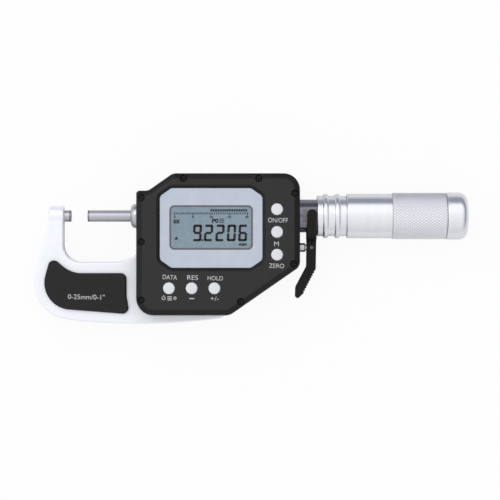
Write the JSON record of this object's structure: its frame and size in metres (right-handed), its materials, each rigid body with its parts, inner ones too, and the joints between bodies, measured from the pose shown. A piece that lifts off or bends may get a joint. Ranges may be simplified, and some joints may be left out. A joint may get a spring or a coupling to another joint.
{
  "type": "outside micrometer",
  "caption": "Digital outside micrometer with a bow frame, sprung retracting spindle worked by a pivoted fork, knurled thimble, display housing and press keys, lying on its back.",
  "frame": {"origin": "centre of the anvil's measuring face, on the spindle axis", "axes": "+X along the spindle from the anvil to the thimble, +Y across the spindle away from the bow, +Z out of the display, up when the tool lies on its back"},
  "size_m": [0.2401, 0.0827, 0.0316],
  "materials": {
    "silver_enamel": "satin silver-white enamel",
    "ground_steel": "ground and polished",
    "satin_steel": "satin",
    "carbide": "lapped",
    "grip_plastic": "fine matt texture",
    "housing_plastic": "fine matt texture",
    "black_screw": "black oxide",
    "panel_print": "smooth print",
    "display": "smooth",
    "board": "solder mask",
    "brass": "plain",
    "fork_black": "black satin",
    "satin_aluminium": "satin",
    "spring_steel": "drawn",
    "scale_glass": "smooth",
    "key_plastic": "smooth"
  },
  "bodies": {
    "frame_body": {"frame": "silver_enamel", "anvil": "ground_steel", "anvil_tip": "carbide", "front_grip": "grip_plastic", "rear_grip": "grip_plastic", "spindle_bush": "ground_steel", "sleeve": "satin_steel", "spring_stop": "satin_steel", "housing_body": "housing_plastic", "front_cover": "housing_plastic", "cover_screws": "black_screw", "frame_screws": "black_screw", "display_panel": "panel_print", "display_glass": "display", "circuit_board": "board", "key_switches": "brass", "reader_head": "grip_plastic", "coin_cell": "satin_steel", "cell_contact": "brass", "data_socket": "grip_plastic", "fork_stud": "ground_steel", "stud_nut": "satin_steel", "fork_pin": "ground_steel", "return_spring": "spring_steel"},
    "fork_body": {"retract_fork": "fork_black"},
    "carriage": {"retract_collar": "satin_aluminium", "key_plate": "satin_steel"},
    "thimble_body": {"thimble": "satin_aluminium", "thimble_bush": "brass", "drive_nut": "brass", "knurled_grip": "satin_aluminium", "end_cap": "satin_aluminium"},
    "spindle_body": {"spindle": "ground_steel", "spindle_tip": "carbide", "scale_bracket": "satin_aluminium", "glass_scale": "scale_glass"},
    "key_on_off": {"key_on_off": "key_plastic"},
    "key_mode": {"key_mode": "key_plastic"},
    "key_zero": {"key_zero": "key_plastic"},
    "key_data": {"key_data": "key_plastic"},
    "key_resolution": {"key_resolution": "key_plastic"},
    "key_hold": {"key_hold": "key_plastic"},
    "cap_body": {"battery_cap": "housing_plastic"}
  },
  "joints": [
    {"name": "retract_slide", "type": "slide", "parent": "frame_body", "child": "carriage", "axis": [1, 0, 0], "range_m": [0, 0.003], "stiffness_N_per_m": 600, "springref_m": -0.012, "deforming": ["return_spring"]},
    {"name": "fork_swing", "type": "hinge", "parent": "frame_body", "child": "fork_body", "pos_m": [0.13312, -0.0175, 0], "axis": [0, 0, -1], "range_deg": [0, 9.42]},
    {"name": "thimble_turn", "type": "hinge", "parent": "carriage", "child": "thimble_body", "pos_m": [0.18, 0, 0], "axis": [1, 0, 0], "range_deg": [-6623.9, 11361.5]},
    {"name": "spindle_travel", "type": "slide", "parent": "carriage", "child": "spindle_body", "axis": [1, 0, 0], "range_m": [-0.0092, 0.01578]},
    {"name": "press_on_off", "type": "slide", "parent": "frame_body", "child": "key_on_off", "axis": [0, 0, -1], "range_m": [0, 0.0006], "stiffness_N_per_m": 1200, "springref_m": -0.0005},
    {"name": "press_mode", "type": "slide", "parent": "frame_body", "child": "key_mode", "axis": [0, 0, -1], "range_m": [0, 0.0006], "stiffness_N_per_m": 1200, "springref_m": -0.0005},
    {"name": "press_zero", "type": "slide", "parent": "frame_body", "child": "key_zero", "axis": [0, 0, -1], "range_m": [0, 0.0006], "stiffness_N_per_m": 1200, "springref_m": -0.0005},
    {"name": "press_data", "type": "slide", "parent": "frame_body", "child": "key_data", "axis": [0, 0, -1], "range_m": [0, 0.0006], "stiffness_N_per_m": 1200, "springref_m": -0.0005},
    {"name": "press_resolution", "type": "slide", "parent": "frame_body", "child": "key_resolution", "axis": [0, 0, -1], "range_m": [0, 0.0006], "stiffness_N_per_m": 1200, "springref_m": -0.0005},
    {"name": "press_hold", "type": "slide", "parent": "frame_body", "child": "key_hold", "axis": [0, 0, -1], "range_m": [0, 0.0006], "stiffness_N_per_m": 1200, "springref_m": -0.0005},
    {"name": "battery_cap_turn", "type": "hinge", "parent": "frame_body", "child": "cap_body", "pos_m": [0.097, -0.029, -0.0125], "axis": [0, 0, 1], "range_deg": [0, 60]}
  ],
  "couplings": [
    {"joint": "fork_swing", "follows": "retract_slide", "rad_per_m": 54.7},
    {"joint": "spindle_travel", "follows": "thimble_turn", "m_per_rad": 0.000079577}
  ]
}
